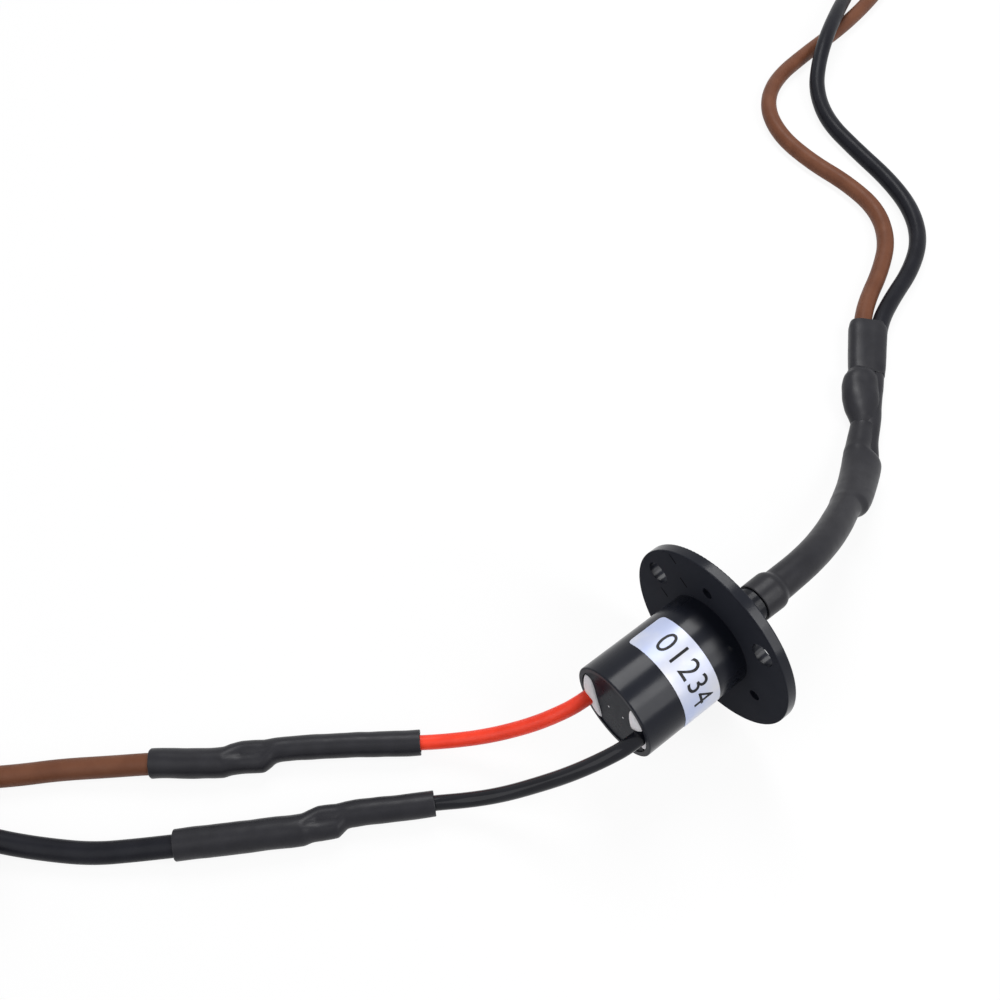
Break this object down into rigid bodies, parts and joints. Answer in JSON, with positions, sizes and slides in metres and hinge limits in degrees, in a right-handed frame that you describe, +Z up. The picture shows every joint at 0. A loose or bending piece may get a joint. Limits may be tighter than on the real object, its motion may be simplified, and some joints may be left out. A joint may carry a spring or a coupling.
{
  "type": "slip ring",
  "caption": "Capsule slip ring: round flanged housing with a foil label, ball-bearing rotor with contact rings and sprung brushes, and heat-shrunk leads at both ends.",
  "frame": {"origin": "on the ring's axis, in the flange face that seats on a panel, at the centre of the bolt circle", "axes": "+X along the ring's axis from the open end to the flange and the rotor, +Z up from the table that the leads lie on"},
  "size_m": [0.473, 0.2217, 0.0444],
  "materials": {
    "housing_plastic": "semi-gloss moulded black",
    "label_foil": "satin silver foil",
    "cover_plastic": "moulded charcoal",
    "sealant": "white potting sealant",
    "bearing_steel": "ground bearing steel",
    "cage_brass": "pressed brass",
    "spindle_plastic": "turned black plastic",
    "ring_brass": "gold-flashed brass",
    "brush_bronze": "spring bronze",
    "insulator": "natural insulating plastic",
    "block_plastic": "moulded dark grey",
    "steel": "plated steel",
    "lead_red": "red silicone insulation",
    "lead_black": "glossy black insulation",
    "tail_brown": "brown insulation",
    "tail_black": "black insulation",
    "heat_shrink": "matte charcoal heat-shrink",
    "copper": "bare stranded copper",
    "tinned_copper": "tinned strands",
    "tie_nylon": "black nylon tie"
  },
  "bodies": {
    "stator": {"stator_housing": "housing_plastic", "label": "label_foil", "end_cover": "cover_plastic", "lead_seal_red": "sealant", "lead_seal_black": "sealant", "front_bearing_outer_ring": "bearing_steel", "rear_bearing_outer_ring": "bearing_steel", "brush_block_red": "block_plastic", "brush_block_black": "block_plastic", "brush_red": "brush_bronze", "brush_black": "brush_bronze", "lead_core_red": "copper", "lead_core_black": "copper", "stator_lead_red": "lead_red", "stator_lead_black": "lead_black", "splice_sleeve_red": "heat_shrink", "splice_sleeve_black": "heat_shrink", "stator_tail_brown": "tail_brown", "stator_tail_black": "tail_black", "stator_tail_coil": "tail_brown", "coil_tie": "tie_nylon"},
    "rotor": {"rotor_spindle": "spindle_plastic", "barrier_front": "insulator", "barrier_middle": "insulator", "barrier_rear": "insulator", "contact_ring_red": "ring_brass", "contact_ring_black": "ring_brass", "clamp_nut": "steel", "retaining_ring": "steel", "front_bearing_inner_ring": "bearing_steel", "rear_bearing_inner_ring": "bearing_steel", "rotor_lead_red": "lead_red", "rotor_lead_black": "lead_black", "rotor_sleeve": "heat_shrink", "rotor_splice_brown": "heat_shrink", "rotor_splice_black": "heat_shrink", "rotor_tail_sleeve": "heat_shrink", "rotor_tail_brown": "tail_brown", "rotor_tail_black": "tail_black", "rotor_tail_brown_end": "tinned_copper", "rotor_tail_black_end": "tinned_copper"},
    "front_ball_set": {"front_bearing_balls": "bearing_steel", "front_bearing_cage": "cage_brass"},
    "rear_ball_set": {"rear_bearing_balls": "bearing_steel", "rear_bearing_cage": "cage_brass"}
  },
  "joints": [
    {"name": "rotor_spin", "type": "hinge", "parent": "stator", "child": "rotor", "pos_m": [0, 0, 0], "axis": [1, 0, 0], "continuous": true},
    {"name": "front_balls_roll", "type": "hinge", "parent": "stator", "child": "front_ball_set", "pos_m": [-0.0018, 0, 0], "axis": [1, 0, 0], "continuous": true},
    {"name": "rear_balls_roll", "type": "hinge", "parent": "stator", "child": "rear_ball_set", "pos_m": [-0.0198, 0, 0], "axis": [1, 0, 0], "continuous": true}
  ],
  "couplings": [
    {"joint": "front_balls_roll", "follows": "rotor_spin", "ratio": 0.4091},
    {"joint": "rear_balls_roll", "follows": "rotor_spin", "ratio": 0.425}
  ]
}
